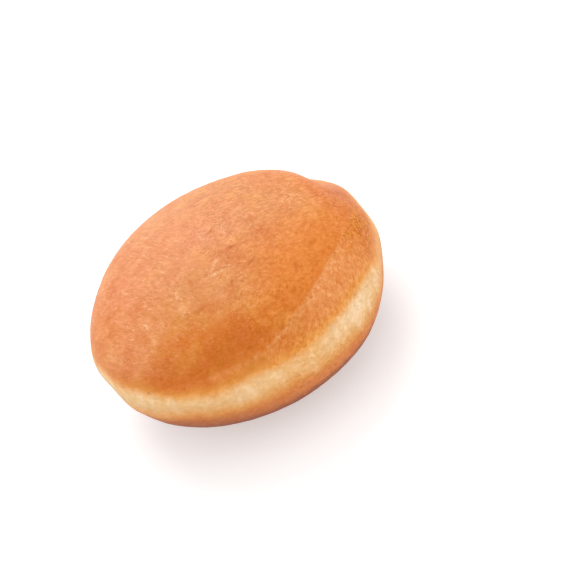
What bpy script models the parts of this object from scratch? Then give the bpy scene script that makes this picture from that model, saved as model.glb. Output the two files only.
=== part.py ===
# A plain round doughnut without a hole: one ball of yeast dough, proved into a thick
# disc and fried on each side in turn, which leaves a pale band round its middle.
# Metres, +Z up. It rests on its flattened underside at Z = 0, centred on the Z axis.

import math

import bmesh
import bpy
from mathutils import Vector

MM = 0.001

# Driving sizes. Heights in this block are counted from the widest line round the side.
WIDEST_RADIUS = 45.0 * MM
CROWN_RISE = 24.2 * MM
UNDERSIDE_DROP = 22.0 * MM

# How full the curve is between the widest line and the poles, and how that is shared.
# Zero would be a plain blend of the radius and the rise. Less than zero is leaner.
CROWN_FULLNESS = -4.4 * MM
CROWN_SKEW = -2.5 * MM
UNDERSIDE_FULLNESS = -3.0 * MM
UNDERSIDE_ROUND_DROP = 23.6 * MM   # how deep the underside would hang before it is flattened
UNDERSIDE_BLEND = 0.8 * MM         # how gently the flat spot runs out into the curve

# The dough isn't quite round in plan: waves round the edge, each (count, height, azimuth).
PLAN_WAVES = (
    (3, 0.20 * MM, -55.0),
    (4, 0.23 * MM, 23.0),
)

# The fold: a shallow tilted valley round the crown, where the risen top met the side.
FOLD_HEIGHT = 6.8 * MM
FOLD_TILT = 6.6 * MM
FOLD_HIGH_SIDE = -44.0
FOLD_HALF_WIDTH = 3.4 * MM
# The fold's depth is the sum of these, each (depth, azimuth, half width in degrees).
FOLD_DEPTHS = (
    (2.1 * MM, 27.0, 13.0),
    (0.45 * MM, -20.0, 52.0),
)
LIP_HEIGHT = 0.75 * MM             # the side stands proud just below the deep end of the fold
LIP_BELOW_FOLD = 5.0 * MM
LIP_HALF_WIDTH = 3.0 * MM

# The pale band, a little narrower than the crust above and below it.
BAND_MIDDLE = 1.6 * MM
BAND_HALF_WIDTH = 4.6 * MM
BAND_DEPTH = 0.35 * MM

# Broad dents (less than zero) and swellings, each (depth, azimuth, latitude, half width).
SWELLINGS = (
    (-0.75 * MM, -170.0, -2.0, 6.5 * MM),
    (0.60 * MM, 179.0, 2.0, 6.5 * MM),
    (-0.35 * MM, 150.0, 14.0, 8.0 * MM),
    (-0.30 * MM, -154.0, -9.0, 7.0 * MM),
    (0.45 * MM, -50.0, -17.0, 8.5 * MM),
    (-0.25 * MM, -19.0, -9.0, 7.0 * MM),
    (0.50 * MM, -7.0, -1.0, 6.0 * MM),
    (0.30 * MM, 13.0, 7.0, 6.0 * MM),
    (0.30 * MM, 53.0, 20.0, 7.0 * MM),
    (-0.50 * MM, -84.0, 30.0, 9.0 * MM),
    (0.40 * MM, -140.0, 32.0, 10.0 * MM),
    (-0.35 * MM, 75.0, 36.0, 9.0 * MM),
    (-0.45 * MM, 110.0, -11.0, 9.0 * MM),
    (0.30 * MM, 60.0, -14.0, 8.0 * MM),
)

# How finely the solid is divided: round it, and by latitude in degrees per row.
SEGMENTS = 84
CROWN_ROWS = (90.0, 34.0, 10)
SIDE_ROWS = (34.0, -10.0, 20)
UNDERSIDE_ROWS = (-10.0, -90.0, 13)

CRUST_COLOUR = (0.72, 0.28, 0.08, 1.0)
CRUST_ROUGHNESS = 0.5


def clear_scene():
    for thing in list(bpy.data.objects):
        bpy.data.objects.remove(thing, do_unlink=True)


def bell(distance, half_width):
    """A smooth bump: 1 at its middle, about a third one half width away."""
    return math.exp(-(distance / half_width) ** 2)


def degrees_between(first, second):
    return (first - second + 180.0) % 360.0 - 180.0


def reach(latitude):
    """How far the plain dough ball reaches from its middle, at a latitude in radians."""
    out = math.cos(latitude) ** 2
    up = math.sin(latitude) ** 2
    diagonal = math.sin(2.0 * latitude) ** 2
    if latitude >= 0.0:
        lean = CROWN_FULLNESS + CROWN_SKEW * math.cos(2.0 * latitude)
        return WIDEST_RADIUS * out + CROWN_RISE * up + lean * diagonal
    return WIDEST_RADIUS * out + UNDERSIDE_ROUND_DROP * up + UNDERSIDE_FULLNESS * diagonal


def flattened(height):
    """Press a height against the surface it rests on, with a soft edge round the flat spot."""
    drop = -height
    overlap = max(UNDERSIDE_BLEND - abs(drop - UNDERSIDE_DROP), 0.0) / UNDERSIDE_BLEND
    soft = overlap * overlap * UNDERSIDE_BLEND / 4.0
    return -(min(drop, UNDERSIDE_DROP) - soft)


def latitudes():
    """Latitudes of the profile's points in radians, from the top to the underside."""
    degrees = []
    for start, end, rows in (CROWN_ROWS, SIDE_ROWS, UNDERSIDE_ROWS):
        degrees += [start + (end - start) * row / rows for row in range(rows)]
    degrees.append(UNDERSIDE_ROWS[1])
    return [math.radians(value) for value in degrees]


def plan_scale(azimuth):
    """How far the edge is drawn out or in at an azimuth, as a share of the radius."""
    scale = 1.0
    for count, height, crest in PLAN_WAVES:
        scale += height / WIDEST_RADIUS * math.cos(math.radians(count * (azimuth - crest)))
    return scale


def fold_relief(azimuth, height):
    """The valley of the fold, and the lip that the dough makes just below it."""
    valley_height = FOLD_HEIGHT + FOLD_TILT * math.cos(math.radians(azimuth - FOLD_HIGH_SIDE))
    depth = 0.0
    for most, middle, half_width in FOLD_DEPTHS:
        depth += most * bell(degrees_between(azimuth, middle), half_width)
    deepest, deep_end, deep_width = FOLD_DEPTHS[0]
    lip = LIP_HEIGHT * bell(degrees_between(azimuth, deep_end), deep_width)
    above = height - valley_height
    return lip * bell(above + LIP_BELOW_FOLD, LIP_HALF_WIDTH) - depth * bell(above, FOLD_HALF_WIDTH)


def plain_point(azimuth, latitude):
    """A point of the plain dough ball, both angles in radians."""
    distance = reach(latitude)
    out = distance * math.cos(latitude)
    return Vector((out * math.cos(azimuth), out * math.sin(azimuth), distance * math.sin(latitude)))


def swelling_relief(point):
    """The broad dents and swellings, by the distance to the middle of each."""
    relief = 0.0
    for size, azimuth, latitude, half_width in SWELLINGS:
        middle = plain_point(math.radians(azimuth), math.radians(latitude))
        relief += size * bell((point - middle).length, half_width)
    return relief


def shaped(point):
    """Move a point of the plain turned form to where the real dough has it."""
    azimuth = math.degrees(math.atan2(point.y, point.x))
    relief = fold_relief(azimuth, point.z) + swelling_relief(point)
    relief -= BAND_DEPTH * bell(point.z - BAND_MIDDLE, BAND_HALF_WIDTH)
    moved = point * (1.0 + relief / point.length)
    moved.x *= plan_scale(azimuth)
    moved.y *= plan_scale(azimuth)
    moved.z = flattened(moved.z) + UNDERSIDE_DROP
    return moved


def turned_form():
    """The plain dough ball: half a section, turned round the Z axis and closed at its poles."""
    form = bmesh.new()
    section = []
    for latitude in latitudes():
        section.append(form.verts.new(plain_point(0.0, latitude)))
    edges = [form.edges.new(pair) for pair in zip(section, section[1:])]
    bmesh.ops.spin(
        form,
        geom=section + edges,
        cent=(0.0, 0.0, 0.0),
        axis=(0.0, 0.0, 1.0),
        angle=2.0 * math.pi,
        steps=SEGMENTS,
    )
    bmesh.ops.remove_doubles(form, verts=form.verts, dist=0.01 * MM)
    return form


def centre_on_axis(form):
    """Put the middle of the form's plan on the Z axis."""
    across = [vert.co.x for vert in form.verts]
    along = [vert.co.y for vert in form.verts]
    middle = ((min(across) + max(across)) / 2.0, (min(along) + max(along)) / 2.0, 0.0)
    bmesh.ops.translate(form, verts=form.verts, vec=[-value for value in middle])


def crust_material():
    material = bpy.data.materials.new("fried_crust")
    material.use_nodes = True
    shader = material.node_tree.nodes["Principled BSDF"]
    shader.inputs["Base Color"].default_value = CRUST_COLOUR
    shader.inputs["Roughness"].default_value = CRUST_ROUGHNESS
    shader.inputs["Metallic"].default_value = 0.0
    return material


def make_doughnut():
    form = turned_form()
    for vert in form.verts:
        vert.co = shaped(vert.co)
    centre_on_axis(form)
    bmesh.ops.recalc_face_normals(form, faces=form.faces)
    mesh = bpy.data.meshes.new("doughnut")
    form.to_mesh(mesh)
    form.free()
    mesh.shade_smooth()
    mesh.materials.append(crust_material())
    doughnut = bpy.data.objects.new("doughnut", mesh)
    bpy.context.scene.collection.objects.link(doughnut)
    return doughnut


clear_scene()
make_doughnut()
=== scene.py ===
# A plain round doughnut without a hole, lying on a pale table top in soft studio light.
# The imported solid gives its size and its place. The surface that shows is made here.
import math

import bpy
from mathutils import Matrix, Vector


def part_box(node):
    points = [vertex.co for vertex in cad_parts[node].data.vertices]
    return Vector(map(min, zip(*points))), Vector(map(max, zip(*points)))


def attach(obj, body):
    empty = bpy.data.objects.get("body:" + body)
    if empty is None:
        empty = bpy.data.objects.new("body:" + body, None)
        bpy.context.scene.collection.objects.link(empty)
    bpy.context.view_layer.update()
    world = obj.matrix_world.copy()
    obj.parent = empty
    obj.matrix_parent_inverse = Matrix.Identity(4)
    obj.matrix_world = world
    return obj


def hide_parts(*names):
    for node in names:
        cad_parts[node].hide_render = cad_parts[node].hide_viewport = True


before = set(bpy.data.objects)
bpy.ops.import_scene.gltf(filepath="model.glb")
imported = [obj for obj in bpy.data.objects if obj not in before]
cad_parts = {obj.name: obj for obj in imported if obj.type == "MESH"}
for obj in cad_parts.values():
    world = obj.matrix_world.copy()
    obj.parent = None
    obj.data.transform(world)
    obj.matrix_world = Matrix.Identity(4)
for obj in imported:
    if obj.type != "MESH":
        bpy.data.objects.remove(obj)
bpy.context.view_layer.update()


# The dough: one ball of yeast dough, proved into a thick soft disc and fried floating,
# first on one face and then on the other. The crown domes over a tilted fold, a narrow
# waist runs round the side, and the face that it lies on is pressed flat.
MM = 0.001

# The form follows the solid. Heights are counted from the widest line round the side, and
# azimuths in degrees from +X. A stretch of the side is (azimuth of its middle, half width).
WIDEST_RADIUS = 45.0 * MM
CROWN_RISE = 24.2 * MM
UNDERSIDE_DROP = 22.0 * MM

# How full the curve is between the widest line and the poles. Less than zero is leaner.
CROWN_FULLNESS = -4.4 * MM
CROWN_SKEW = -2.5 * MM
UNDERSIDE_FULLNESS = -3.0 * MM
UNDERSIDE_ROUND_DROP = 23.6 * MM    # how deep the underside would hang before it is flattened
UNDERSIDE_BLEND = 0.8 * MM          # how gently the flat spot runs out into the curve

# Waves round the edge of the plan, each (count, height, azimuth of a crest).
PLAN_WAVES = (
    (3, 0.20 * MM, -55.0),
    (4, 0.23 * MM, 23.0),
)

# The fold: a shallow tilted valley round the crown, long and faint at the front and deep at
# one end, where a lip stands below it.
FOLD_HEIGHT = 6.8 * MM
FOLD_TILT = 6.6 * MM
FOLD_HIGH_SIDE = -44.0
FOLD_HALF_WIDTH = 3.4 * MM
DEEP_FOLD = (27.0, 13.0)
DEEP_FOLD_DEPTH = 2.1 * MM
LONG_FOLD = (-20.0, 52.0)
LONG_FOLD_DEPTH = 0.45 * MM
LIP_HEIGHT = 0.75 * MM
LIP_BELOW_FOLD = 5.0 * MM
LIP_HALF_WIDTH = 3.0 * MM

WAIST_MIDDLE = 1.6 * MM
WAIST_HALF_WIDTH = 4.6 * MM
WAIST_DEPTH = 0.35 * MM

# Swellings, and dents where less than zero, each (height, azimuth, latitude, half width).
SWELLINGS = (
    (-0.75 * MM, -170.0, -2.0, 6.5 * MM),
    (0.60 * MM, 179.0, 2.0, 6.5 * MM),
    (-0.35 * MM, 150.0, 14.0, 8.0 * MM),
    (-0.30 * MM, -154.0, -9.0, 7.0 * MM),
    (0.45 * MM, -50.0, -17.0, 8.5 * MM),
    (-0.25 * MM, -19.0, -9.0, 7.0 * MM),
    (0.50 * MM, -7.0, -1.0, 6.0 * MM),
    (0.30 * MM, 13.0, 7.0, 6.0 * MM),
    (0.30 * MM, 53.0, 20.0, 7.0 * MM),
    (-0.50 * MM, -84.0, 30.0, 9.0 * MM),
    (0.40 * MM, -140.0, 32.0, 10.0 * MM),
    (-0.35 * MM, 75.0, 36.0, 9.0 * MM),
    (-0.45 * MM, 110.0, -11.0, 9.0 * MM),
    (0.30 * MM, 60.0, -14.0, 8.0 * MM),
)

# The skin's own relief, which the solid leaves out: how high it is, and how large one feature.
LUMP_HEIGHT = 0.16 * MM
LUMP_SIZE = 6.5 * MM
PUCKER_HEIGHT = 0.09 * MM
PUCKER_SIZE = 1.5 * MM
SHOULDER_PUCKER_HEIGHT = 0.16 * MM
SHOULDER_PUCKER_SIZE = 1.1 * MM
STREAK_HEIGHT = 0.10 * MM
STREAK_SIZE = 1.5 * MM
STREAK_STRETCH = (1.0, 1.0, 0.3)    # what a place is multiplied by, so that streaks run upright
STREAKED_MIDDLE = -4.0 * MM         # the side has streaks round this height, and no puckers
STREAKED_HALF_HEIGHT = 9.0 * MM
RESTING_FADE = 2.5 * MM             # the skin is smoothed up to here where it lies on its face

# The smooth crown ends in a sharp line near the fold, a fine crease that rises, or falls
# where it is less than zero, at some stretches of the side: (rise, azimuth, half width).
LINE_DEPTH = 0.12 * MM
LINE_HALF_WIDTH = 0.8 * MM
LINE_TURNS = (
    (-1.4 * MM, -93.0, 20.0),
    (-3.0 * MM, -3.0, 22.0),
)

# The shoulder is the rough skin between that line and the band. Its two ends fade out, the
# left one into a faint tail. A pair of limits is (where it starts, where it is full).
SHOULDER_MIDDLE = -48.0
SHOULDER_END = (50.0, 34.0)
SHOULDER_TAIL = (-112.0, 17.0)
SHOULDER_TAIL_STRENGTH = 0.4
SHOULDER_TOP = (0.4 * MM, -0.3 * MM)
SHOULDER_BOTTOM = (3.0 * MM, 5.5 * MM)

# How the skin's marks are drawn out. A smaller share draws them longer. On the left of the
# crown they run aslant, and elsewhere level, where they are stronger and drawn out less.
PUCKER_SHARE = 0.5
STROKE_SHARE = 0.35
LEFT_SIDE = (4.0 * MM, -14.0 * MM)
ASLANT_STRENGTH = 0.76
LEVEL_STRENGTH = 1.28
LEVEL_DRAW = 0.2
LEVEL_SEED_STEP = 0.5

DIVISIONS = 128                     # faces along each side of the cube that the ball starts as
POLE_CROWDING = 0.6                 # how flat the ball is taken to be when its faces are shared out
SEED = 7.0


class Wire:
    """A socket of a node tree. Arithmetic on wires adds Math nodes to the tree they are in."""

    def __init__(self, socket):
        self.socket = socket
        self.tree = socket.id_data

    @staticmethod
    def node(tree, kind, settings, sockets, output=0):
        """Add any node: its settings, then a value or a wire for each socket. Gives one output."""
        made = tree.nodes.new(kind)
        for name, setting in settings.items():
            setattr(made, name, setting)
        for name, value in sockets.items():
            if isinstance(value, Wire):
                tree.links.new(value.socket, made.inputs[name])
            else:
                made.inputs[name].default_value = value
        return Wire(made.outputs[output]) if made.outputs else None

    def math(self, operation, *others):
        """A Math node that takes this wire first."""
        sockets = dict(enumerate((self,) + others))
        return Wire.node(self.tree, "ShaderNodeMath", {"operation": operation}, sockets)

    def after(self, operation, other):
        """A Math node that takes this wire second."""
        return Wire.node(self.tree, "ShaderNodeMath", {"operation": operation}, {0: other, 1: self})

    def __add__(self, other):
        return self.math("ADD", other)

    def __radd__(self, other):
        return self.math("ADD", other)

    def __sub__(self, other):
        return self.math("SUBTRACT", other)

    def __rsub__(self, other):
        return self.after("SUBTRACT", other)

    def __mul__(self, other):
        return self.math("MULTIPLY", other)

    def __rmul__(self, other):
        return self.math("MULTIPLY", other)

    def __truediv__(self, other):
        return self.math("DIVIDE", other)

    def __rtruediv__(self, other):
        return self.after("DIVIDE", other)

    def __neg__(self):
        return self.math("MULTIPLY", -1.0)


def split(vector):
    """The three parts of a vector."""
    first = Wire.node(vector.tree, "ShaderNodeSeparateXYZ", {}, {0: vector})
    return [Wire(output) for output in first.socket.node.outputs]


def joined(x, y, z):
    """A vector from its three parts, of which the first is a wire."""
    return Wire.node(x.tree, "ShaderNodeCombineXYZ", {}, {0: x, 1: y, 2: z})


def vector_math(operation, first, second=(0.0, 0.0, 0.0), output="Vector"):
    """A Vector Math node on a vector, or on a colour as a vector, and a second one."""
    settings = {"operation": operation}
    return Wire.node(first.tree, "ShaderNodeVectorMath", settings, {0: first, 1: second}, output)


def scaled(vector, factor):
    """A vector, or a colour as a vector, multiplied by a number."""
    sockets = {0: vector, "Scale": factor}
    return Wire.node(vector.tree, "ShaderNodeVectorMath", {"operation": "SCALE"}, sockets)


def bell(distance, half_width):
    """A smooth bump: 1 at its middle, about a third one half width away."""
    steps = distance / half_width
    return (steps * steps * -1.0).math("EXPONENT")


def smooth(value, start, end):
    """0 up to start, 1 from end on, and a soft rise between them. start may be the larger."""
    if start < end:
        limits = {"From Min": start, "From Max": end, "To Min": 0.0, "To Max": 1.0}
    else:
        limits = {"From Min": end, "From Max": start, "To Min": 1.0, "To Max": 0.0}
    settings = {"interpolation_type": "SMOOTHSTEP"}
    return Wire.node(value.tree, "ShaderNodeMapRange", settings, {"Value": value, **limits})


def noise(place, size, seed, detail=2.0):
    """Smooth chance relief about zero, mostly within -0.5 to 0.5, with features of one size."""
    sockets = {"Vector": place, "W": seed, "Scale": 1.0 / size, "Detail": detail}
    drawn = Wire.node(place.tree, "ShaderNodeTexNoise", {"noise_dimensions": "4D"}, sockets)
    return drawn * 2.0 - 1.0


def azimuth_of(x, y):
    """The azimuth of a place, in radians."""
    return y.math("ARCTAN2", x)


def turned_from(azimuth, degrees):
    """The angle in radians from a direction given in degrees, between half turns."""
    return (azimuth - math.radians(degrees)).math("WRAP", math.pi, -math.pi)


def around(azimuth, middle, half_width):
    """A smooth bump round the side, 1 at the middle of a stretch given in degrees."""
    return bell(turned_from(azimuth, middle), math.radians(half_width))


def bent(level, azimuth, turns):
    """A level that rises by so much round the middle of each turn: (rise, azimuth, half width)."""
    for rise, middle, half_width in turns:
        level = level + around(azimuth, middle, half_width) * rise
    return level


def fold_height(azimuth):
    """How high the middle of the fold lies at an azimuth."""
    return (azimuth - math.radians(FOLD_HIGH_SIDE)).math("COSINE") * FOLD_TILT + FOLD_HEIGHT


def above_line(azimuth, height):
    """How far a height is above the sharp line where the smooth crown ends."""
    return height - bent(fold_height(azimuth), azimuth, LINE_TURNS)


def shoulder(azimuth, height):
    """1 on the rough skin between that line and the band, and 0 elsewhere."""
    away = turned_from(azimuth, SHOULDER_MIDDLE).math("ABSOLUTE")
    shown = smooth(away, *(math.radians(limit) for limit in SHOULDER_END))
    shown = shown + around(azimuth, *SHOULDER_TAIL) * SHOULDER_TAIL_STRENGTH
    below_line = smooth(above_line(azimuth, height), *SHOULDER_TOP)
    return shown.math("MINIMUM", 1.0) * below_line * smooth(height, *SHOULDER_BOTTOM)


def heading(azimuth, rise):
    """A direction of length 1, by its azimuth and its rise in degrees."""
    turn = math.radians(azimuth)
    level = math.cos(math.radians(rise))
    return level * math.cos(turn), level * math.sin(turn), math.sin(math.radians(rise))


LEVEL_RUN = heading(6.0, 0.0)
ASLANT_RUN = heading(-62.0, 17.0)
UPRIGHT_RUN = heading(56.0, 31.0)


def run_noise(place, run, share, size, seed, detail=2.0):
    """Noise drawn out along a run, because its place is squeezed to a share of itself there."""
    along = vector_math("DOT_PRODUCT", place, run, "Value")
    back = vector_math("MULTIPLY", along, tuple(part * (share - 1.0) for part in run))
    return noise(vector_math("ADD", place, back), size, seed, detail)


def leftness(place):
    """1 on the left of the crown, where the skin's marks run aslant, and 0 on its right."""
    return smooth(split(place)[0], *LEFT_SIDE)


def drawn_noise(place, share, size, seed, detail=2.0):
    """Noise drawn out as the skin is: aslant on the left of the crown, slightly level elsewhere."""
    aslant = run_noise(place, ASLANT_RUN, share, size, seed, detail) * ASLANT_STRENGTH
    level_share = 1.0 + (share - 1.0) * LEVEL_DRAW
    level = run_noise(place, LEVEL_RUN, level_share, size, seed + LEVEL_SEED_STEP, detail)
    level = level * LEVEL_STRENGTH
    return level + (aslant - level) * leftness(place)


def skin_relief(place, azimuth, height, inputs):
    """How far the skin stands out: soft lumps, small puckers, upright streaks and the line."""
    seed = inputs["Seed"]
    side = bell(height - STREAKED_MIDDLE, STREAKED_HALF_HEIGHT)
    rough = shoulder(azimuth, height)
    lumps = noise(place, LUMP_SIZE, seed + 1.0) * inputs["Lump Height"]
    puckers = drawn_noise(place, PUCKER_SHARE, PUCKER_SIZE, seed + 2.0) * inputs["Pucker Height"]
    tight = run_noise(place, UPRIGHT_RUN, STROKE_SHARE, SHOULDER_PUCKER_SIZE, seed + 3.0)
    tight = tight * rough * inputs["Shoulder Pucker Height"]
    stretched = vector_math("MULTIPLY", place, STREAK_STRETCH)
    streaks = noise(stretched, STREAK_SIZE, seed + 4.0) * inputs["Streak Height"]
    line = bell(above_line(azimuth, height), LINE_HALF_WIDTH) * rough * inputs["Line Depth"]
    return lumps + puckers * (1.0 - side) + tight + streaks * side - line


def plain_reach(direction_z, inputs):
    """How far the plain dough ball reaches from its middle, by the rise of a direction."""
    up = direction_z * direction_z
    out = 1.0 - up
    diagonal = up * out * 4.0
    lean = (out - up) * CROWN_SKEW + CROWN_FULLNESS
    level = out * inputs["Widest Radius"]
    crown = level + up * inputs["Crown Rise"] + lean * diagonal
    under = level + up * UNDERSIDE_ROUND_DROP + diagonal * UNDERSIDE_FULLNESS
    is_crown = direction_z.math("GREATER_THAN", 0.0)
    return crown * is_crown + under * (1.0 - is_crown)


def plain_point(azimuth, latitude):
    """A point of the plain dough ball as numbers, by its azimuth and latitude in degrees."""
    turn = math.radians(azimuth)
    rise = math.radians(latitude)
    up = math.sin(rise) ** 2
    out = math.cos(rise) ** 2
    diagonal = math.sin(2.0 * rise) ** 2
    if latitude >= 0.0:
        lean = CROWN_FULLNESS + CROWN_SKEW * math.cos(2.0 * rise)
        reach = WIDEST_RADIUS * out + CROWN_RISE * up + lean * diagonal
    else:
        reach = WIDEST_RADIUS * out + UNDERSIDE_ROUND_DROP * up + UNDERSIDE_FULLNESS * diagonal
    level = reach * math.cos(rise)
    return level * math.cos(turn), level * math.sin(turn), reach * math.sin(rise)


def form_relief(point, azimuth, height, inputs):
    """The fold and its lip, the waist, and the broad dents and swellings."""
    above_fold = height - fold_height(azimuth)
    deep_end = around(azimuth, *DEEP_FOLD)
    depth = deep_end * inputs["Deep Fold Depth"]
    depth = depth + around(azimuth, *LONG_FOLD) * inputs["Long Fold Depth"]
    lip = bell(above_fold + LIP_BELOW_FOLD, LIP_HALF_WIDTH) * deep_end * inputs["Lip Height"]
    waist = bell(height - WAIST_MIDDLE, WAIST_HALF_WIDTH) * inputs["Waist Depth"]
    relief = lip - depth * bell(above_fold, FOLD_HALF_WIDTH) - waist
    for swell, middle, latitude, half_width in SWELLINGS:
        away = vector_math("DISTANCE", point, plain_point(middle, latitude), "Value")
        relief = relief + bell(away, half_width) * swell
    return relief


def flattened(height, rest):
    """Press a height against the table top at a depth, with a soft edge round the flat spot."""
    drop = -height
    near = (UNDERSIDE_BLEND - (drop - rest).math("ABSOLUTE")).math("MAXIMUM", 0.0)
    return near * near / (4.0 * UNDERSIDE_BLEND) - drop.math("MINIMUM", rest)


def dough_inputs(crust):
    """What the dough's tree is given, by the names of its inputs."""
    return {
        "Widest Radius": WIDEST_RADIUS,
        "Crown Rise": CROWN_RISE,
        "Underside Drop": UNDERSIDE_DROP,
        "Deep Fold Depth": DEEP_FOLD_DEPTH,
        "Long Fold Depth": LONG_FOLD_DEPTH,
        "Lip Height": LIP_HEIGHT,
        "Waist Depth": WAIST_DEPTH,
        "Lump Height": LUMP_HEIGHT,
        "Pucker Height": PUCKER_HEIGHT,
        "Shoulder Pucker Height": SHOULDER_PUCKER_HEIGHT,
        "Streak Height": STREAK_HEIGHT,
        "Line Depth": LINE_DEPTH,
        "Divisions": DIVISIONS,
        "Seed": SEED,
        "Crust": crust,
    }


def dough_tree(values):
    """Geometry Nodes for the whole dough: a divided cube, rounded, formed and given its skin."""
    tree = bpy.data.node_groups.new("risen_dough", "GeometryNodeTree")
    kinds = {float: "NodeSocketFloat", int: "NodeSocketInt", bpy.types.Material: "NodeSocketMaterial"}
    for name, value in values.items():
        tree.interface.new_socket(name, in_out="INPUT", socket_type=kinds[type(value)])
    tree.interface.new_socket("Geometry", in_out="OUTPUT", socket_type="NodeSocketGeometry")
    entry = Wire.node(tree, "NodeGroupInput", {}, {}).socket.node
    inputs = {name: Wire(entry.outputs[name]) for name in values}
    corners = inputs["Divisions"] + 1.0
    sides = {"Vertices X": corners, "Vertices Y": corners, "Vertices Z": corners}
    cube = Wire.node(tree, "GeometryNodeMeshCube", {}, {"Size": (2.0, 2.0, 2.0), **sides})

    # Each coordinate goes through a tangent, which shares the faces out evenly over a ball.
    corner = Wire.node(tree, "GeometryNodeInputPosition", {}, {})
    spread = [(part * (math.pi / 4.0)).math("TANGENT") for part in split(corner)]
    direction = vector_math("NORMALIZE", joined(spread[0], spread[1], spread[2] * POLE_CROWDING))
    x, y, z = split(direction)
    azimuth = azimuth_of(x, y)
    reach = plain_reach(z, inputs)
    relief = form_relief(scaled(direction, reach), azimuth, reach * z, inputs)
    x, y, z = split(scaled(direction, reach + relief))
    plan = 1.0
    for count, wave, crest in PLAN_WAVES:
        turn = (azimuth - math.radians(crest)) * float(count)
        plan = plan + turn.math("COSINE") * (wave / inputs["Widest Radius"])
    rest = inputs["Underside Drop"]
    formed = joined(x * plan, y * plan, flattened(z, rest) + rest)
    dough = Wire.node(tree, "GeometryNodeSetPosition", {}, {"Geometry": cube, "Position": formed})

    place = Wire.node(tree, "GeometryNodeInputPosition", {}, {})
    x, y, z = split(place)
    out = skin_relief(place, azimuth_of(x, y), z - rest, inputs) * smooth(z, 0.0, RESTING_FADE)
    offset = scaled(Wire.node(tree, "GeometryNodeInputNormal", {}, {}), out)
    dough = Wire.node(tree, "GeometryNodeSetPosition", {}, {"Geometry": dough, "Offset": offset})
    shading = {"Geometry": dough, "Shade Smooth": True}
    dough = Wire.node(tree, "GeometryNodeSetShadeSmooth", {}, shading)
    dough = Wire.node(tree, "GeometryNodeRealizeInstances", {}, {"Geometry": dough})
    crusted = {"Geometry": dough, "Material": inputs["Crust"]}
    dough = Wire.node(tree, "GeometryNodeSetMaterial", {}, crusted)
    Wire.node(tree, "NodeGroupOutput", {}, {"Geometry": dough})
    return tree


def made_mesh(name, tree, values):
    """A plain mesh object from a Geometry Nodes tree, with its named inputs set to the values."""
    piece = bpy.data.objects.new(name, bpy.data.meshes.new(name))
    bpy.context.scene.collection.objects.link(piece)
    modifier = piece.modifiers.new(name, "NODES")
    modifier.node_group = tree
    for item in tree.interface.items_tree:
        if item.in_out == "INPUT":
            modifier[item.identifier] = values[item.name]
    evaluated = piece.evaluated_get(bpy.context.evaluated_depsgraph_get())
    mesh = bpy.data.meshes.new_from_object(evaluated)
    piece.modifiers.remove(modifier)
    piece.data = mesh
    return piece


# The crust on it: the skin of the dough, browned by the hot fat. It is deepest in colour on the
# crown and on the underside, there partly painted shade, rough and paler on the shoulder below the
# fold, and the band round the waist, which floated clear of the fat, stays the colour of cooked dough.
def seen_colour(red, green, blue):
    """A colour as a screen shows it, 0 to 255, turned into the linear one that a shader takes."""
    return tuple(((part / 255.0 + 0.055) / 1.055) ** 2.4 for part in (red, green, blue)) + (1.0,)


# Chance patterns, each (size of one feature, seed, detail).
MOTTLE = (6.5 * MM, SEED + 11.0, 1.0)
BLOTCHES = (3.0 * MM, SEED + 19.0, 1.0)
GRAIN_CLUMPS = (2.5 * MM, SEED + 8.0, 1.0)
FLECK_CLUSTERS = (2.2 * MM, SEED + 5.0, 1.0)
LIVELINESS = (4.0 * MM, SEED + 20.0, 1.0)
BAND_WANDER = (6.0 * MM, SEED + 13.0, 3.0)
BAND_FRAY = (1.6 * MM, SEED + 14.0, 2.0)
BAND_CREAM = (3.0 * MM, SEED + 15.0, 2.0)

# Patterns that are drawn out, each (share, size of one feature, seed, detail).
SPECKLES = (0.4, 1.1 * MM, SEED + 12.0, 1.0)
FINE_MARKS = (0.4, 0.40 * MM, SEED + 16.0, 2.0)
SCUFFS = (0.3, 0.7 * MM, SEED + 7.0, 2.0)
STROKES = (STROKE_SHARE, 1.2 * MM, SEED + 17.0, 1.0)
GRAINS = (0.38, 0.65 * MM, SEED + 6.0, 1.0)
ASLANT_FLECKS = (0.2, 0.5 * MM, SEED + 21.0, 0.0)
LEVEL_FLECKS = (0.4, 0.5 * MM, SEED + 22.0, 0.0)

# Regions of the crust: the crown as a pair of heights, its browned front, the calm skin just
# above the sharp line, and the right end of the shoulder.
CROWN_HEIGHTS = (6.0 * MM, 11.0 * MM)
FRONT = (-96.0, 28.0)
FRONT_MIDDLE = 11.0 * MM
FRONT_HALF_HEIGHT = 4.0 * MM
BESIDE_LINE = (-52.0, 32.0)
BESIDE_LINE_RISE = 2.0 * MM
BESIDE_LINE_HALF_HEIGHT = 3.5 * MM
BESIDE_LINE_STRENGTH = 0.9
RIGHT_END = (-14.0, 18.0)

# Where the crown is smooth and calm, each (strength, x, y, half width), seen from above.
SMOOTH_PATCHES = (
    (0.64, 14.0 * MM, -22.0 * MM, 11.0 * MM),
    (0.48, 26.0 * MM, -11.0 * MM, 8.0 * MM),
    (0.24, -1.0 * MM, -11.0 * MM, 7.0 * MM),
)


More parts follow.
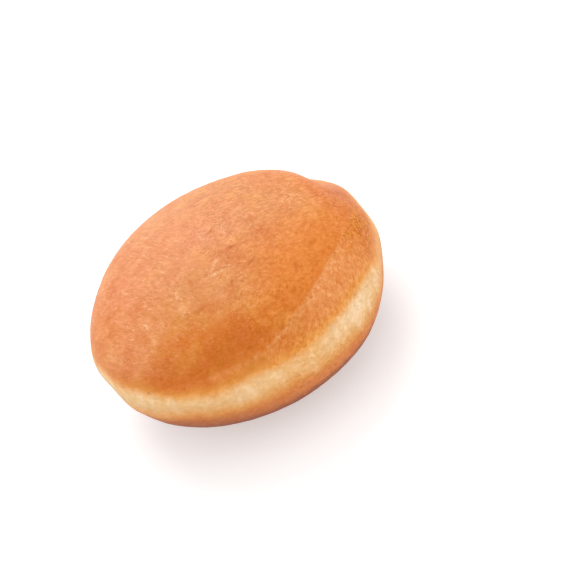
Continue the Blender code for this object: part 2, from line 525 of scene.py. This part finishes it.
class Spot:
    """Any point of the crust: its place, the regions it lies in and the patterns there, as wires."""

    def __init__(self, tree):
        self.place = Wire.node(tree, "ShaderNodeTexCoord", {}, {}, "Object")
        self.x, self.y, z = split(self.place)
        self.azimuth = azimuth_of(self.x, self.y)
        self.height = z - UNDERSIDE_DROP
        self.above_line = above_line(self.azimuth, self.height)
        self.mottle = noise(self.place, *MOTTLE)
        self.blotch = noise(self.place, *BLOTCHES)
        self.speckle = drawn_noise(self.place, *SPECKLES)
        self.fine = drawn_noise(self.place, *FINE_MARKS)
        self.left = leftness(self.place)
        self.crown = smooth(self.height, *CROWN_HEIGHTS)
        self.rough = shoulder(self.azimuth, self.height)
        self.right_end = self.along(RIGHT_END)
        self.front = self.along(FRONT) * bell(self.height - FRONT_MIDDLE, FRONT_HALF_HEIGHT)
        beside = bell(self.above_line - BESIDE_LINE_RISE, BESIDE_LINE_HALF_HEIGHT)
        beside = self.along(BESIDE_LINE) * (1.0 - self.rough) * beside * BESIDE_LINE_STRENGTH
        self.still = (self.patches(SMOOTH_PATCHES) + beside).math("MINIMUM", 1.0) * self.crown

    def along(self, stretch):
        """A smooth bump round the side, 1 at the middle of a stretch."""
        return around(self.azimuth, *stretch)

    def left_of(self, start, spread):
        """0 as far left as an azimuth, and 1 from so many degrees further left on."""
        return smooth(turned_from(self.azimuth, start), 0.0, -math.radians(spread))

    def patches(self, places):
        """The sum of some round soft patches, as seen from above."""
        total = 0.0
        for strength, x, y, half_width in places:
            across = (self.x - x) / half_width
            down = (self.y - y) / half_width
            total = total + ((across * across + down * down) * -1.0).math("EXPONENT") * strength
        return total

    def creases(self, marks):
        """The sum of some short creases, as seen from above."""
        total = 0.0
        for x, y, half_length, half_width, degrees in marks:
            ahead = math.cos(math.radians(degrees))
            aside = math.sin(math.radians(degrees))
            along = ((self.x - x) * ahead + (self.y - y) * aside) / half_length
            across = ((self.y - y) * ahead - (self.x - x) * aside) / half_width
            total = total + ((along * along + across * across) * -1.0).math("EXPONENT")
        return total


def blended(factor, first, second):
    """A colour between two, nearer the second as the factor goes from 0 to 1."""
    # A Mix node takes colours at its sockets 6 and 7, and gives one at its output 2.
    sockets = {0: factor, 6: first, 7: second}
    return Wire.node(factor.tree, "ShaderNodeMix", {"data_type": "RGBA"}, sockets, 2)


# The crown, from its broad tints to its browned patches and strokes, with a paler, greyer top
# that is painted sheen. A chance pattern shifts each tint by so much.
CROWN_COLOUR = seen_colour(226, 130, 42)
# Painted sheen: the paler, greyer tint of the crown's top.
CROWN_SHEEN_COLOUR = seen_colour(217, 136, 71)
YELLOW_COLOUR = seen_colour(226, 144, 48)
PINK_AND_SHEEN_COLOUR = seen_colour(229, 142, 93)
SMOOTH_COLOUR = seen_colour(229, 131, 46)
RUDDY_COLOUR = seen_colour(206, 112, 70)
BROWNED_AND_CREASE_SHADE_COLOUR = seen_colour(198, 93, 12)
BROWN_GOLD_COLOUR = seen_colour(204, 112, 18)
CROWN_SHEEN_HEIGHTS = (14.0 * MM, 22.0 * MM)
SHEEN_MOTTLE = 0.4
YELLOW_MOTTLE = 1.2
PINK_AND_SHEEN_SPECKLE = 0.6
SMOOTH_BLOTCH = 0.5
BROWNED_MOTTLE = -0.5
BROWNED_BLOTCH = 0.3
BROWNED_SPECKLE = 0.1
STROKE_CONTRAST = 2.6
STROKE_DEPTH = 0.15

# Pink tints, partly the crust's own and partly painted sheen, and ruddy tints, each (strength, x, y,
# half width), seen from above.
PINK_AND_SHEEN_PATCHES = (
    (0.8, -26.0 * MM, 3.0 * MM, 15.0 * MM),
    (0.4, -2.0 * MM, 2.0 * MM, 12.0 * MM),
    (0.45, -29.0 * MM, -18.0 * MM, 12.0 * MM),
    (0.3, -39.0 * MM, -20.0 * MM, 9.0 * MM),
    (0.25, 41.0 * MM, 0.0, 7.0 * MM),
    (0.35, -10.0 * MM, 20.0 * MM, 14.0 * MM),
)
RUDDY_PATCHES = (
    (0.22, 3.5 * MM, -9.0 * MM, 7.0 * MM),
    (0.10, 0.0, 1.0 * MM, 6.0 * MM),
)

# Where the crown is browned most, each (strength, azimuth, height, half length, half height).
# A length round the side is measured at the patches' usual radius.
BROWNED_RADIUS = 0.9 * WIDEST_RADIUS
BROWNED_PATCHES = (
    (0.50, -124.0, 11.0 * MM, 13.0 * MM, 3.4 * MM),
    (0.45, -98.0, 13.5 * MM, 12.0 * MM, 3.4 * MM),
    (0.35, -100.0, 7.5 * MM, 18.0 * MM, 2.4 * MM),
    (0.20, -146.0, 8.0 * MM, 12.0 * MM, 2.4 * MM),
    (0.45, 2.0, 10.5 * MM, 9.0 * MM, 4.0 * MM),
)


def crown_colour(spot):
    """The browned skin of the crown, which the other regions then cover."""
    # Painted sheen, paler and greyer towards the top.
    top = smooth(spot.height, *CROWN_SHEEN_HEIGHTS) + spot.mottle * SHEEN_MOTTLE
    colour = blended(top, CROWN_COLOUR, CROWN_SHEEN_COLOUR)
    colour = blended(spot.mottle * YELLOW_MOTTLE, colour, YELLOW_COLOUR)
    # Pink tints: partly the crust's own, partly painted sheen.
    pink_and_sheen = spot.patches(PINK_AND_SHEEN_PATCHES) + spot.speckle * PINK_AND_SHEEN_SPECKLE
    colour = blended(pink_and_sheen * spot.crown, colour, PINK_AND_SHEEN_COLOUR)
    colour = blended(spot.still + spot.blotch * SMOOTH_BLOTCH, colour, SMOOTH_COLOUR)
    colour = blended(spot.patches(RUDDY_PATCHES), colour, RUDDY_COLOUR)
    browned = spot.mottle * BROWNED_MOTTLE + spot.blotch * BROWNED_BLOTCH
    browned = browned + spot.speckle * BROWNED_SPECKLE
    for strength, middle, level, half_length, half_height in BROWNED_PATCHES:
        along = bell(turned_from(spot.azimuth, middle) * BROWNED_RADIUS, half_length)
        browned = browned + along * bell(spot.height - level, half_height) * strength
    colour = blended(browned, colour, BROWNED_AND_CREASE_SHADE_COLOUR)
    strokes = run_noise(spot.place, UPRIGHT_RUN, *STROKES) * STROKE_CONTRAST + STROKE_DEPTH
    return blended(spot.front * strokes, colour, BROWN_GOLD_COLOUR)


# The shoulder: pinkish along its middle and golden at both ends.
SHOULDER_COLOUR = seen_colour(238, 152, 86)
AMBER_COLOUR = seen_colour(214, 120, 14)
SHOULDER_TINT = 0.35
SHOULDER_BLOTCH = 0.6
PINKISH_STRETCH = (-52.0, 22.0)
PINKISH_HEIGHTS = (3.5 * MM, 6.0 * MM)
LEFT_END = (-76.0, 12.0)
LEFT_END_GOLD = 0.35


def with_shoulder(spot, colour):
    """A colour with the tints of the rough shoulder over it."""
    pinkish = spot.along(PINKISH_STRETCH) * smooth(spot.height, *PINKISH_HEIGHTS)
    pinkish = pinkish + SHOULDER_TINT + spot.blotch * SHOULDER_BLOTCH
    colour = blended(spot.rough * pinkish, colour, SHOULDER_COLOUR)
    golden = spot.right_end + spot.along(LEFT_END) * LEFT_END_GOLD + spot.blotch
    return blended(spot.rough * golden, colour, AMBER_COLOUR)


# The underside: browned like the crown, darker towards the face it lies on, partly browner crust and
# partly painted shade, and with painted shade deepest at its left front, higher up in one stretch.
UNDERSIDE_COLOUR = seen_colour(212, 124, 62)
UNDERSIDE_BROWN_AND_SHADE_COLOUR = seen_colour(140, 68, 26)
UNDERSIDE_HEIGHTS = (0.0, -4.0 * MM)
BROWNER_AND_SHADE_HEIGHTS = (-7.5 * MM, -13.0 * MM)
BROWNER_AND_SHADE_BLOTCH = 0.5
PAINTED_SHADE_STRETCH = (-132.0, 33.0)
PAINTED_SHADE_HEIGHTS = (1.5 * MM, -12.0 * MM)
PAINTED_SHADE_STRENGTH = 0.85
PAINTED_SHADE_RISE_STRETCH = (-147.0, 13.0)
PAINTED_SHADE_RISE = 2.5 * MM


def with_underside(spot, colour):
    """A colour with the underside's over it, from just below the widest line down, with its painted
    shade.
    """
    # Darker towards the face it lies on: browner crust and painted shade together.
    browner_and_shade = smooth(spot.height, *BROWNER_AND_SHADE_HEIGHTS) + spot.blotch * BROWNER_AND_SHADE_BLOTCH
    under = blended(browner_and_shade, UNDERSIDE_COLOUR, UNDERSIDE_BROWN_AND_SHADE_COLOUR)
    # Painted shade on the left front, which reaches higher up in one stretch.
    lowered = spot.height - spot.along(PAINTED_SHADE_RISE_STRETCH) * PAINTED_SHADE_RISE
    painted_shade = spot.along(PAINTED_SHADE_STRETCH) * smooth(lowered, *PAINTED_SHADE_HEIGHTS)
    under = blended(painted_shade * PAINTED_SHADE_STRENGTH, under, UNDERSIDE_BROWN_AND_SHADE_COLOUR)
    return blended(smooth(spot.height, *UNDERSIDE_HEIGHTS), colour, under)


# The band, which fades to gold and then to the crust at both edges. Its edges rise, or fall
# where it is less than zero, at some stretches: (rise, azimuth, half width).
GOLD_COLOUR = seen_colour(235, 153, 60)
# Painted shade: the band's gold as it is darkened to the left and lower down.
SHADED_GOLD_COLOUR = seen_colour(221, 147, 64)
PALE_COLOUR = seen_colour(236, 190, 132)
CREAM_COLOUR = seen_colour(248, 214, 172)
BAND_TOP = 5.1 * MM
BAND_TOP_TURNS = (
    (0.6 * MM, -144.0, 9.0),
    (-1.2 * MM, -120.0, 13.0),
    (0.7 * MM, -54.0, 15.0),
    (-4.2 * MM, -20.0, 14.0),
)
BAND_BOTTOM = -2.7 * MM
BAND_BOTTOM_TURNS = (
    (1.7 * MM, -88.0, 18.0),
    (2.1 * MM, -129.0, 18.0),
    (2.4 * MM, -12.0, 20.0),
)
BAND_STRETCH = (1.0, 1.0, 0.35)     # what a place is multiplied by, so that its marks run upright
BAND_EDGE_WOBBLE = 1.4 * MM
BAND_FRAY_SHARE = 0.35

# How far inside the band's upper and lower edge each of its colours starts and is full.
GOLD_FROM_TOP = (-3.0 * MM, 0.6 * MM)
GOLD_FROM_BOTTOM = (-6.0 * MM, 0.0)
PALE_FROM_TOP = (-1.0 * MM, 3.0 * MM)
PALE_FROM_BOTTOM = (-3.8 * MM, 3.0 * MM)

# The brown-gold fringe along its upper edge, which two bright stretches are free of.
FRINGE_OUTSIDE = (-3.2 * MM, -0.6 * MM)
FRINGE_INSIDE = (0.8 * MM, -0.8 * MM)
FRINGE_STRENGTH = 0.5
BRIGHT_STRETCHES = (
    (-48.0, 36.0),
    (-168.0, 18.0),
)

# Where the band is more golden than pale, each (share, azimuth, half width).
GOLDEN_STRETCHES = (
    (0.30, -80.0, 13.0),
    (0.60, -18.0, 13.0),
)

# Creamy clouds in it, a whiter stretch of painted light, and painted shade to the left and lower down.
# A spread to the left is (azimuth, degrees further left at which it is full).
CREAM_LIMITS = (-0.1, 0.5)
CREAM_STRENGTH = 0.8
BAND_LIGHT_STRETCH = (-52.0, 11.0)
BAND_LIGHT_MIDDLE = 2.4 * MM
BAND_LIGHT_HALF_HEIGHT = 2.4 * MM
BAND_LIGHT_STRENGTH = 0.7
GOLD_SHADE_SPREAD = (-70.0, 40.0)
GOLD_SHADE_HEIGHTS = (2.0 * MM, -2.0 * MM)
GOLD_SHADE_STRENGTH = 0.5
BAND_SHADE_SPREAD = (-80.0, 50.0)
BAND_SHADE_HEIGHTS = (4.0 * MM, -1.0 * MM)
BAND_SHADE_CREAM_LOSS = 0.5
BAND_SHADE_LOSS = 0.12


def with_band(spot, colour):
    """A colour with the pale band and its painted light and shade over it, and how pale the band is
    there.
    """
    upright = vector_math("MULTIPLY", spot.place, BAND_STRETCH)
    wobble = noise(spot.place, *BAND_WANDER) + noise(upright, *BAND_FRAY) * BAND_FRAY_SHARE
    wobble = wobble * BAND_EDGE_WOBBLE
    from_top = bent(BAND_TOP, spot.azimuth, BAND_TOP_TURNS) - spot.height + wobble
    from_bottom = spot.height - bent(BAND_BOTTOM, spot.azimuth, BAND_BOTTOM_TURNS) + wobble

    fringe = smooth(from_top, *FRINGE_OUTSIDE) * smooth(from_top, *FRINGE_INSIDE)
    bright = sum(spot.along(stretch) for stretch in BRIGHT_STRETCHES)
    colour = blended(fringe * (1.0 - bright) * FRINGE_STRENGTH, colour, BROWN_GOLD_COLOUR)
    # Painted shade: the gold darker to the left and lower down.
    gold_shade = spot.left_of(*GOLD_SHADE_SPREAD) * GOLD_SHADE_STRENGTH
    gold_shade = gold_shade + smooth(spot.height, *GOLD_SHADE_HEIGHTS)
    gold = smooth(from_top, *GOLD_FROM_TOP) * smooth(from_bottom, *GOLD_FROM_BOTTOM)
    colour = blended(gold, colour, blended(gold_shade, GOLD_COLOUR, SHADED_GOLD_COLOUR))

    pale = smooth(from_top, *PALE_FROM_TOP) * smooth(from_bottom, *PALE_FROM_BOTTOM)
    for share, middle, half_width in GOLDEN_STRETCHES:
        pale = pale * (1.0 - around(spot.azimuth, middle, half_width) * share)
    colour = blended(pale, colour, PALE_COLOUR)
    clouds = smooth(noise(upright, *BAND_CREAM), *CREAM_LIMITS) * CREAM_STRENGTH
    # Painted light on the band's front right.
    band_light = spot.along(BAND_LIGHT_STRETCH) * bell(spot.height - BAND_LIGHT_MIDDLE, BAND_LIGHT_HALF_HEIGHT)
    cream = (clouds + band_light * BAND_LIGHT_STRENGTH) * pale
    # Painted shade on the band's lower left, which dulls its cream and darkens it.
    band_shade = spot.left_of(*BAND_SHADE_SPREAD) * smooth(spot.height, *BAND_SHADE_HEIGHTS)
    colour = blended(cream * (1.0 - band_shade * BAND_SHADE_CREAM_LOSS), colour, CREAM_COLOUR)
    return scaled(colour, 1.0 - band_shade * pale * BAND_SHADE_LOSS), pale


# Marks on the crust: pale flecks in clusters on the open crown, pale spots and wrinkles, and pale skin
# along the sharp line, all with painted highlights; dark creases of painted shade; and one burnt crumb
# on the band's edge.
CREST_HIGHLIGHT_COLOUR = seen_colour(252, 192, 140)
FLECK_LIMITS = (0.05, 0.55)
LEVEL_FLECK_STRENGTH = 0.5
FLECK_CLUSTER_LIMITS = (-0.1, 0.35)
FLECKED_HEIGHTS = (10.0 * MM, 16.0 * MM)
FLECK_STRENGTH = 0.5
PATCH_BODY = 0.5                    # how much of a pale patch is even
WRINKLE_BODY = 0.4                  # the same for a pale wrinkle
CREASE_BODY = 0.55                  # and for a dark crease
LINE_HIGHLIGHT_DROP = 0.6 * MM
LINE_HIGHLIGHT_HALF_HEIGHT = 0.5 * MM
LINE_HIGHLIGHT_STRETCH = (-72.0, 42.0)
LINE_HIGHLIGHT_STRENGTH = 0.1
LINE_HIGHLIGHT_SPECKLE = 0.3
CRUMB_PLACE = (-34.1 * MM, -27.2 * MM, 27.4 * MM)
CRUMB_RADIUS = 0.4 * MM
CRUMB_COLOUR = seen_colour(168, 84, 36)
CRUMB_STRENGTH = 0.7

# Paler patches and spots, partly pale skin and partly painted highlights, each (strength, x, y,
# half width), seen from above.
PALE_AND_HIGHLIGHT_PATCHES = (
    (0.25, -12.0 * MM, -13.0 * MM, 8.0 * MM),
    (0.25, 0.0, -21.0 * MM, 8.0 * MM),
    (0.25, 28.0 * MM, 0.0, 8.0 * MM),
    (0.20, -10.0 * MM, 17.0 * MM, 10.0 * MM),
    (0.30, -38.0 * MM, -14.0 * MM, 6.0 * MM),
    (0.20, -28.0 * MM, -24.0 * MM, 5.0 * MM),
    (0.35, -0.4 * MM, -1.1 * MM, 1.6 * MM),
    (0.35, -3.7 * MM, -24.4 * MM, 1.5 * MM),
    (0.5, -14.9 * MM, -20.9 * MM, 1.2 * MM),
    (0.6, -25.7 * MM, -17.0 * MM, 1.5 * MM),
    (0.6, -22.0 * MM, -20.8 * MM, 1.6 * MM),
    (0.4, -16.4 * MM, -7.1 * MM, 1.2 * MM),
)

# Short pale wrinkles with painted highlights, each (x, y, half length, half width, run in degrees) from
# above.
WRINKLES = (
    (-16.9 * MM, 7.8 * MM, 1.6 * MM, 0.35 * MM, -56.0),
    (-13.5 * MM, -1.4 * MM, 1.4 * MM, 0.35 * MM, -70.0),
    (-14.5 * MM, -5.0 * MM, 1.4 * MM, 0.35 * MM, -64.0),
    (-26.6 * MM, -0.5 * MM, 1.6 * MM, 0.35 * MM, -60.0),
    (-25.5 * MM, -17.3 * MM, 1.0 * MM, 0.55 * MM, -55.0),
    (-22.6 * MM, -12.9 * MM, 1.2 * MM, 0.35 * MM, -55.0),
    (-13.8 * MM, -17.2 * MM, 1.6 * MM, 0.35 * MM, -60.0),
    (-1.8 * MM, -17.6 * MM, 2.9 * MM, 0.55 * MM, -3.0),
    (-1.1 * MM, -14.7 * MM, 2.1 * MM, 0.55 * MM, 45.0),
    (6.0 * MM, -3.8 * MM, 1.4 * MM, 0.50 * MM, 90.0),
)

# Short creases, darkened with painted shade, each (x, y, half length, half width, run in degrees) from
# above.
CREASES = (
    (2.9 * MM, -1.0 * MM, 1.6 * MM, 0.5 * MM, 30.0),
    (5.0 * MM, -12.0 * MM, 4.6 * MM, 0.6 * MM, -6.0),
    (1.4 * MM, -22.4 * MM, 1.4 * MM, 0.6 * MM, 40.0),
    (-10.1 * MM, -24.7 * MM, 1.8 * MM, 0.6 * MM, 10.0),
    (18.2 * MM, -26.4 * MM, 2.2 * MM, 0.6 * MM, 70.0),
    (8.3 * MM, -19.7 * MM, 1.6 * MM, 0.6 * MM, 20.0),
    (0.6 * MM, -12.6 * MM, 2.0 * MM, 0.4 * MM, 4.0),
    (6.0 * MM, -11.8 * MM, 1.6 * MM, 0.5 * MM, -17.0),
    (-8.9 * MM, -14.9 * MM, 1.4 * MM, 0.9 * MM, -81.0),
    (3.5 * MM, -1.9 * MM, 1.2 * MM, 0.4 * MM, -56.0),
)


def flecks(spot):
    """Short thin pale strokes with painted highlights, in clusters, which run aslant on the left of the
    crown.
    """
    aslant = smooth(run_noise(spot.place, ASLANT_RUN, *ASLANT_FLECKS), *FLECK_LIMITS)
    level = smooth(run_noise(spot.place, LEVEL_RUN, *LEVEL_FLECKS), *FLECK_LIMITS)
    level = level * LEVEL_FLECK_STRENGTH
    clusters = smooth(noise(spot.place, *FLECK_CLUSTERS), *FLECK_CLUSTER_LIMITS)
    return (aslant * spot.left + level * (1.0 - spot.left)) * clusters


def with_marks(spot, colour):
    """A colour with its marks, painted highlights and shade over it, and how strong the pale ones are
    there.
    """
    open_crown = spot.crown * (1.0 - spot.rough) * (1.0 - spot.still) * (1.0 - spot.front)
    open_crown = open_crown * smooth(spot.height, *FLECKED_HEIGHTS)
    # Painted highlights on the pale flecks, spots and wrinkles.
    highlit_crests = flecks(spot) * open_crown * FLECK_STRENGTH
    highlit_crests = highlit_crests + spot.patches(PALE_AND_HIGHLIGHT_PATCHES) * spot.crown * (spot.fine + PATCH_BODY)
    highlit_crests = highlit_crests + spot.creases(WRINKLES) * (spot.fine + WRINKLE_BODY)
    # Painted highlight along the ridge of the sharp line.
    edge = bell(spot.above_line + LINE_HIGHLIGHT_DROP, LINE_HIGHLIGHT_HALF_HEIGHT) * spot.along(LINE_HIGHLIGHT_STRETCH)
    edge = edge * (LINE_HIGHLIGHT_STRENGTH + spot.speckle * LINE_HIGHLIGHT_SPECKLE)
    colour = blended(highlit_crests + edge, colour, CREST_HIGHLIGHT_COLOUR)
    # Painted shade in the creases, which have no relief of their own.
    dark = spot.creases(CREASES) * spot.crown * (spot.fine + CREASE_BODY)
    colour = blended(dark, colour, BROWNED_AND_CREASE_SHADE_COLOUR)
    from_crumb = vector_math("DISTANCE", spot.place, CRUMB_PLACE, "Value")
    return blended(bell(from_crumb, CRUMB_RADIUS) * CRUMB_STRENGTH, colour, CRUMB_COLOUR), highlit_crests


# The finest marks make the skin lighter and darker. What one step adds to red, green and
# blue is counted in the screen's own scale, so a colour is taken there and back.
GRAIN_TONE = (0.034, 0.072, 0.074)
FINE_TONE = (0.064, 0.092, 0.086)
SPECKLE_TONE = (0.060, 0.072, 0.076)
BLOTCH_TONE = (0.034, 0.048, 0.062)
MOTTLE_TONE = (0.010, 0.030, 0.038)
SCREEN_GAMMA = 2.2
DARKEST = 0.05
GRAIN_LIMITS = (-0.3, 0.3)
CLUMP_CONTRAST = 1.4
SCUFF_STRENGTH = 1.15
SCUFF_STILL_LOSS = 0.6
RIGHT_BLOTCH = 0.4                  # how much stronger blotches are on the right of the crown

# How strong the finest marks are: they vary by chance, and differ from region to region.
LIVELY_CONTRAST = 1.6
LIVELY_BASE = 0.95
LIVELY_CROWN_GAIN = 0.15
LIVELY_STILL_LOSS = 0.3
LIVELY_FRONT_LOSS = 0.75
LIVELY_LEAST = 0.25


def grains(spot):
    """Tight upright grains about zero on the shoulder, as where its skin has shrunk."""
    clumps = noise(spot.place, *GRAIN_CLUMPS) * CLUMP_CONTRAST + 1.0
    tight = smooth(run_noise(spot.place, UPRIGHT_RUN, *GRAINS), *GRAIN_LIMITS) - 0.5
    return tight * clumps * spot.rough


def scuffs(spot):
    """Short marks about zero on the crown, fainter where it is calm."""
    open_crown = spot.crown * (1.0 - spot.still * SCUFF_STILL_LOSS) * (1.0 - spot.rough)
    return drawn_noise(spot.place, *SCUFFS) * open_crown * SCUFF_STRENGTH


def toned(colour, amount, step):
    """A colour made lighter, or darker where the amount is below zero, by so many steps."""
    return vector_math("ADD", colour, vector_math("MULTIPLY", amount, step))


def with_tones(spot, colour, grained, scuffed):
    """A colour with the lighter and darker tones of all the chance patterns, finest first."""
    lively = noise(spot.place, *LIVELINESS) * LIVELY_CONTRAST + LIVELY_BASE
    lively = lively + spot.crown * LIVELY_CROWN_GAIN
    lively = lively - spot.still * LIVELY_STILL_LOSS - spot.front * LIVELY_FRONT_LOSS
    blotched = spot.crown * (1.0 - spot.left) * RIGHT_BLOTCH + 1.0
    seen = vector_math("POWER", colour, (1.0 / SCREEN_GAMMA,) * 3)
    seen = toned(seen, grained * (spot.right_end + 1.0), GRAIN_TONE)
    seen = toned(seen, spot.fine * lively.math("MAXIMUM", LIVELY_LEAST), FINE_TONE)
    seen = toned(seen, spot.speckle + scuffed, SPECKLE_TONE)
    seen = toned(seen, spot.blotch * blotched, BLOTCH_TONE)
    seen = toned(seen, spot.mottle, MOTTLE_TONE)
    seen = vector_math("MAXIMUM", seen, (DARKEST,) * 3)
    return vector_math("POWER", seen, (SCREEN_GAMMA,) * 3)


# The finish: satin on the crown, duller on the shoulder, the underside and most on the band,
# with the fine marks as relief too. The soft inside lets a little light through the skin.
MARK_RELIEF = 0.035 * MM
FINE_RELIEF = 0.5
GRAIN_RELIEF = 0.3
CROWN_ROUGHNESS = 0.44
BAND_EXTRA_ROUGHNESS = 0.2
SHOULDER_EXTRA_ROUGHNESS = 0.06
UNDERSIDE_EXTRA_ROUGHNESS = 0.15
UNDERSIDE_ROUGH_HEIGHTS = (0.0, -6.0 * MM)
CRUST_SPECULAR = 0.25
CRUST_SUBSURFACE = 0.10
CRUST_SUBSURFACE_RADIUS = (1.0, 0.45, 0.2)
CRUST_SUBSURFACE_DEPTH = 1.2 * MM


def crust_material():
    """The crust's material: the colours of its regions, its marks, its tones and its finish."""
    material = bpy.data.materials.new("fried_crust")
    material.use_nodes = True
    tree = material.node_tree
    tree.nodes.clear()
    spot = Spot(tree)
    grained = grains(spot)
    scuffed = scuffs(spot)
    colour = with_underside(spot, with_shoulder(spot, crown_colour(spot)))
    colour, pale = with_band(spot, colour)
    colour, highlit_crests = with_marks(spot, colour)
    colour = with_tones(spot, colour, grained, scuffed)

    relief = spot.fine * FINE_RELIEF + spot.speckle + scuffed + highlit_crests + grained * GRAIN_RELIEF
    bump = {"Strength": 1.0, "Distance": MARK_RELIEF, "Height": relief}
    under = smooth(spot.height, *UNDERSIDE_ROUGH_HEIGHTS)
    roughness = CROWN_ROUGHNESS + pale * BAND_EXTRA_ROUGHNESS
    roughness = roughness + spot.rough * SHOULDER_EXTRA_ROUGHNESS + under * UNDERSIDE_EXTRA_ROUGHNESS
    finish = {
        "Base Color": colour,
        "Roughness": roughness,
        "Normal": Wire.node(tree, "ShaderNodeBump", {}, bump),
        "Specular IOR Level": CRUST_SPECULAR,
        "Subsurface Weight": CRUST_SUBSURFACE,
        "Subsurface Radius": CRUST_SUBSURFACE_RADIUS,
        "Subsurface Scale": CRUST_SUBSURFACE_DEPTH,
    }
    shader = Wire.node(tree, "ShaderNodeBsdfPrincipled", {}, finish)
    Wire.node(tree, "ShaderNodeOutputMaterial", {}, {"Surface": shader})
    return material


dough_values = dough_inputs(crust_material())
doughnut = made_mesh("fried_doughnut", dough_tree(dough_values), dough_values)

# Its plan is centred on the solid's, as the solid's own dents put its middle a little off.
solid_low, solid_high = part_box("doughnut")
across = [vertex.co.x for vertex in doughnut.data.vertices]
along = [vertex.co.y for vertex in doughnut.data.vertices]
shift_x = (solid_low[0] + solid_high[0] - min(across) - max(across)) / 2.0
shift_y = (solid_low[1] + solid_high[1] - min(along) - max(along)) / 2.0
for vertex in doughnut.data.vertices:
    vertex.co.x += shift_x
    vertex.co.y += shift_y
    vertex.co.z = max(vertex.co.z, 0.0)
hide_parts("doughnut")
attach(doughnut, "root")


# The table top under it: a wide sheet of milk-white acrylic, sanded matt and lit a little
# from below, as in a studio, so that the shadow under the doughnut stays faint.
TABLE_HALF = 3.0
TABLE_COLOUR = seen_colour(218, 218, 218)
TABLE_ROUGHNESS = 0.7
TABLE_SPECULAR = 0.1
TABLE_GLOW = 0.45

table_mesh = bpy.data.meshes.new("table_top")
table_corners = [(-TABLE_HALF, -TABLE_HALF, 0.0), (TABLE_HALF, -TABLE_HALF, 0.0)]
table_corners += [(TABLE_HALF, TABLE_HALF, 0.0), (-TABLE_HALF, TABLE_HALF, 0.0)]
table_mesh.from_pydata(table_corners, [], [(0, 1, 2, 3)])
table_top = bpy.data.objects.new("table_top", table_mesh)
bpy.context.scene.collection.objects.link(table_top)
acrylic = bpy.data.materials.new("white_acrylic")
acrylic.use_nodes = True
acrylic_shader = acrylic.node_tree.nodes["Principled BSDF"]
acrylic_shader.inputs["Base Color"].default_value = TABLE_COLOUR
acrylic_shader.inputs["Roughness"].default_value = TABLE_ROUGHNESS
acrylic_shader.inputs["Specular IOR Level"].default_value = TABLE_SPECULAR
acrylic_shader.inputs["Emission Color"].default_value = (1.0, 1.0, 1.0, 1.0)
acrylic_shader.inputs["Emission Strength"].default_value = TABLE_GLOW
table_mesh.materials.append(acrylic)


# The light: a white room all round, and one large soft lamp that hangs over the
# doughnut's far side, so that its crown has a broad sheen and its near side stays warm.
ROOM_BRIGHTNESS = 0.88
LAMP_PLACE = (0.1, 1.2, 1.2)
LAMP_SIZE = 1.4
LAMP_POWER = 13.0

room = bpy.data.worlds.new("white_room")
room.use_nodes = True
room_light = room.node_tree.nodes["Background"]
room_light.inputs["Color"].default_value = (1.0, 1.0, 1.0, 1.0)
room_light.inputs["Strength"].default_value = ROOM_BRIGHTNESS
bpy.context.scene.world = room

middle = Vector((0.0, 0.0, UNDERSIDE_DROP))
soft_lamp = bpy.data.lights.new("soft_lamp", "AREA")
soft_lamp.shape = "DISK"
soft_lamp.size = LAMP_SIZE
soft_lamp.energy = LAMP_POWER
lamp = bpy.data.objects.new("soft_lamp", soft_lamp)
lamp.location = LAMP_PLACE
lamp.rotation_mode = "QUATERNION"
lamp.rotation_quaternion = (middle - lamp.location).to_track_quat("-Z", "Y")
bpy.context.scene.collection.objects.link(lamp)


# The camera: a long lens that looks down on the near side, rolled so that the doughnut
# stands in the picture as it was photographed, leaning back to the left.
VIEW_ELEVATION = math.radians(36.6)
VIEW_ROLL = math.radians(29.9)
VIEW_DISTANCE = 13.0 * WIDEST_RADIUS
PICTURE_SIDE = 570.0
PICTURE_MIDDLE = (234.4, 294.2)     # where the doughnut's middle falls in the picture
PICTURE_RADIUS = 155.8              # how long its radius is there
SENSOR_SIDE = 36.0
NEAR_CLIP = 0.01
FAR_CLIP = 20.0

lens = PICTURE_RADIUS * (VIEW_DISTANCE / WIDEST_RADIUS) * SENSOR_SIDE / PICTURE_SIDE
camera_data = bpy.data.cameras.new("camera")
camera_data.sensor_width = SENSOR_SIDE
camera_data.lens = lens
camera_data.clip_start = NEAR_CLIP
camera_data.clip_end = FAR_CLIP
camera = bpy.data.objects.new("camera", camera_data)
bpy.context.scene.collection.objects.link(camera)
bpy.context.scene.camera = camera
back = Vector((0.0, -math.cos(VIEW_ELEVATION), math.sin(VIEW_ELEVATION)))
camera.location = middle + back * VIEW_DISTANCE
level_right = Vector((1.0, 0.0, 0.0))
level_up = back.cross(level_right)
right = level_right * math.cos(VIEW_ROLL) - level_up * math.sin(VIEW_ROLL)
up = level_right * math.sin(VIEW_ROLL) + level_up * math.cos(VIEW_ROLL)
aim = Matrix((right, up, back)).transposed()

# The camera is turned off the doughnut's middle, which puts that in its place in the picture.
pixels_away = lens / SENSOR_SIDE * PICTURE_SIDE
pan = math.atan((PICTURE_SIDE / 2.0 - PICTURE_MIDDLE[0]) / pixels_away)
tilt = math.atan((PICTURE_SIDE / 2.0 - PICTURE_MIDDLE[1]) / pixels_away)
turn = Matrix.Rotation(-pan, 3, "Y") @ Matrix.Rotation(-tilt, 3, "X")
camera.rotation_mode = "QUATERNION"
camera.rotation_quaternion = (aim @ turn).to_quaternion()

bpy.context.scene.view_settings.view_transform = "Standard"
bpy.context.scene.view_settings.look = "None"
